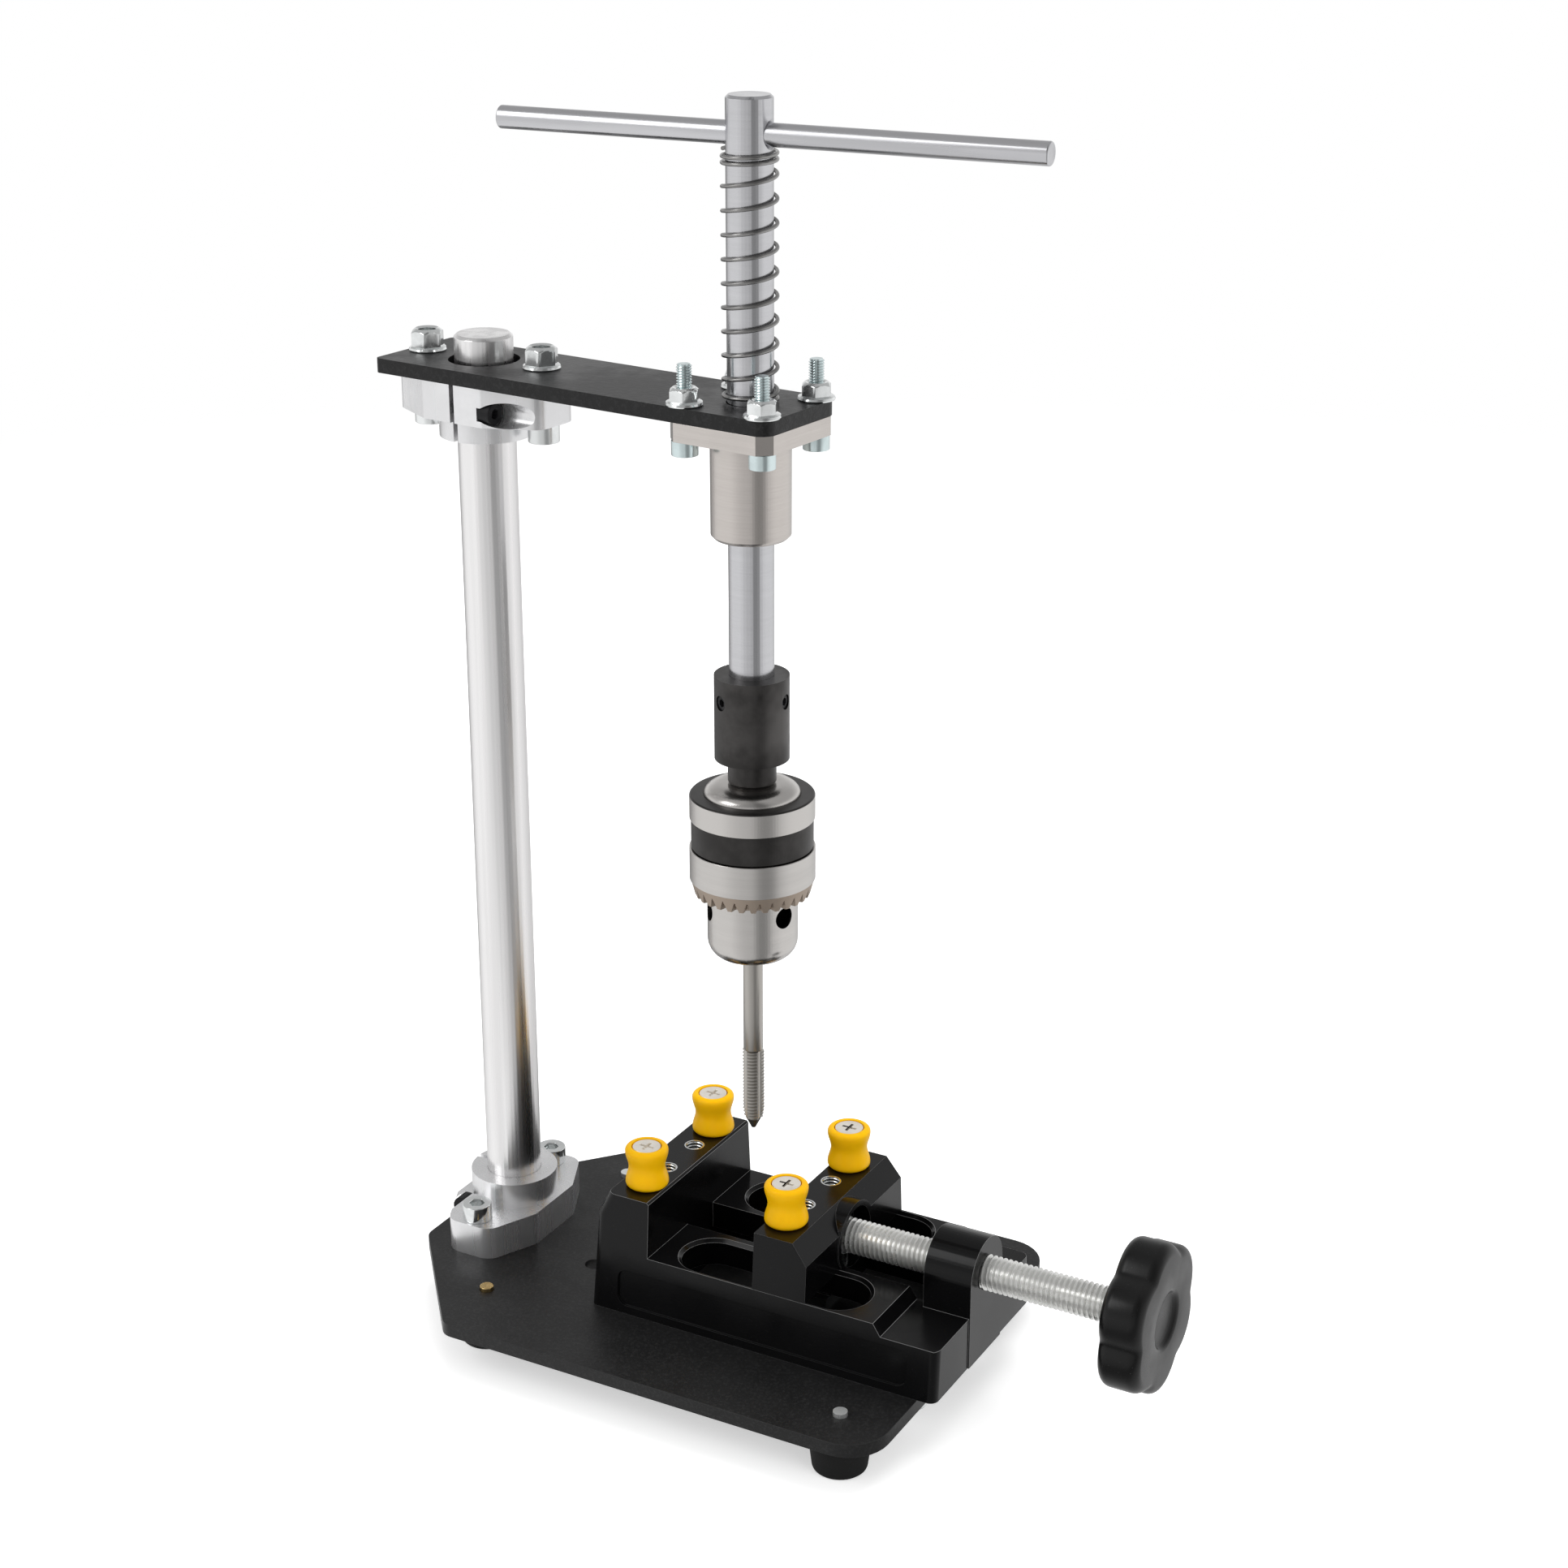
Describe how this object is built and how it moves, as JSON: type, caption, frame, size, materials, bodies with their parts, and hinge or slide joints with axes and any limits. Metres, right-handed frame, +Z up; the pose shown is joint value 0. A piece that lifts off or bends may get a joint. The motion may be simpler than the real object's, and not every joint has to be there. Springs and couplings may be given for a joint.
{
  "type": "tapping stand",
  "caption": "Bench stand on four rubber feet: a screw vise on a base plate, a column, and an arm that guides a sprung spindle with a cross handle, a key chuck and a tap.",
  "frame": {"origin": "on the bench, under the middle of the stand's box", "axes": "+X from the column to the vise knob along the lead screw, +Z up, +Y to the back of the stand"},
  "size_m": [0.2348, 0.12, 0.3555],
  "materials": {
    "black_plate": "matt black powder coat",
    "black_arm": "textured black coat",
    "foot_rubber": "matt black",
    "wiper_rubber": "matt black",
    "zinc": "bright zinc plate",
    "zinc_screw": "bright zinc plate",
    "brass_screw": "bright",
    "cast_aluminium": "bright machined",
    "black_screw": "black oxide",
    "polished_steel": "polished",
    "bush_steel": "nickel plated",
    "bronze": "plain",
    "spring_steel": "drawn wire",
    "ground_steel": "ground",
    "bar_steel": "drawn bar",
    "black_oxide": "black oxide",
    "chuck_steel": "turned steel with blackened bands",
    "jaw_steel": "hardened",
    "tap_steel": "ground tool steel",
    "vise_casting": "satin black enamel",
    "knob_plastic": "satin black",
    "amber_peg": "amber"
  },
  "bodies": {
    "base": {"base_plate": "black_plate", "feet": "foot_rubber", "foot_screws": "zinc", "foot_screw_brass": "brass_screw", "column_flange": "cast_aluminium", "column_flange_screws": "zinc", "column_clamp_screw": "black_screw", "vise_body": "vise_casting", "vise_mount_screws": "zinc", "fixed_pegs": "amber_peg", "fixed_peg_screws": "zinc"},
    "column": {"column": "polished_steel"},
    "arm": {"arm_plate": "black_arm", "arm_clamp": "cast_aluminium", "arm_clamp_screw": "black_screw", "arm_clamp_bolts": "zinc", "arm_clamp_nuts": "zinc", "guide_housing": "bush_steel", "guide_liner": "bronze", "guide_wipers": "wiper_rubber", "guide_screws": "zinc", "guide_nuts": "zinc"},
    "spring": {"return_spring": "spring_steel"},
    "spindle": {"spindle": "ground_steel", "handle_bar": "bar_steel", "chuck_arbor": "black_oxide", "arbor_grub_screws": "black_screw", "chuck_body": "chuck_steel", "chuck_back_ring": "chuck_steel", "tap": "tap_steel"},
    "sleeve": {"chuck_sleeve": "chuck_steel", "chuck_nut": "chuck_steel"},
    "chuck_jaw_1": {"chuck_jaw_1": "jaw_steel"},
    "chuck_jaw_2": {"chuck_jaw_2": "jaw_steel"},
    "chuck_jaw_3": {"chuck_jaw_3": "jaw_steel"},
    "moving_jaw": {"moving_jaw": "vise_casting", "jaw_keeper_plate": "bar_steel", "jaw_keeper_screws": "zinc", "screw_keeper_pin": "bar_steel", "moving_pegs": "amber_peg", "moving_peg_screws": "zinc"},
    "lead_screw": {"vise_screw": "zinc_screw", "vise_knob": "knob_plastic"}
  },
  "joints": [
    {"name": "column_swivel", "type": "hinge", "parent": "base", "child": "column", "pos_m": [-0.09106, 0, 0.016], "axis": [0, 0, 1], "range_deg": [-84, 96]},
    {"name": "arm_height", "type": "slide", "parent": "column", "child": "arm", "axis": [0, 0, 1], "range_m": [-0.034, 0.006]},
    {"name": "spindle_feed", "type": "slide", "parent": "arm", "child": "spring", "axis": [0, 0, -1], "range_m": [-0.037, 0.036], "stiffness_N_per_m": 530, "springref_m": -0.0095, "deforming": ["return_spring"]},
    {"name": "spindle_turn", "type": "hinge", "parent": "spring", "child": "spindle", "pos_m": [-0.00354, -0.0092, 0.346], "axis": [0, 0, 1], "continuous": true},
    {"name": "sleeve_turn", "type": "hinge", "parent": "spindle", "child": "sleeve", "pos_m": [-0.00354, -0.0092, 0.14455], "axis": [0, 0, 1], "range_deg": [0, 1170]},
    {"name": "chuck_jaw_1_slide", "type": "slide", "parent": "spindle", "child": "chuck_jaw_1", "axis": [0.1755, 0.1665, 0.9703], "range_m": [0, 0.0065]},
    {"name": "chuck_jaw_2_slide", "type": "slide", "parent": "spindle", "child": "chuck_jaw_2", "axis": [-0.232, 0.0687, 0.9703], "range_m": [0, 0.0065]},
    {"name": "chuck_jaw_3_slide", "type": "slide", "parent": "spindle", "child": "chuck_jaw_3", "axis": [0.0565, -0.2352, 0.9703], "range_m": [0, 0.0065]},
    {"name": "jaw_slide", "type": "slide", "parent": "base", "child": "moving_jaw", "axis": [-1, 0, 0], "range_m": [-0.0195, 0.032]},
    {"name": "screw_turn", "type": "hinge", "parent": "moving_jaw", "child": "lead_screw", "pos_m": [0.06424, 0, 0.0413], "axis": [-1, 0, 0], "range_deg": [-4710, 7710]}
  ],
  "couplings": [
    {"joint": "chuck_jaw_1_slide", "follows": "sleeve_turn", "m_per_rad": 0.00031831},
    {"joint": "chuck_jaw_2_slide", "follows": "sleeve_turn", "m_per_rad": 0.00031831},
    {"joint": "chuck_jaw_3_slide", "follows": "sleeve_turn", "m_per_rad": 0.00031831},
    {"joint": "screw_turn", "follows": "jaw_slide", "rad_per_m": 4188.8}
  ]
}
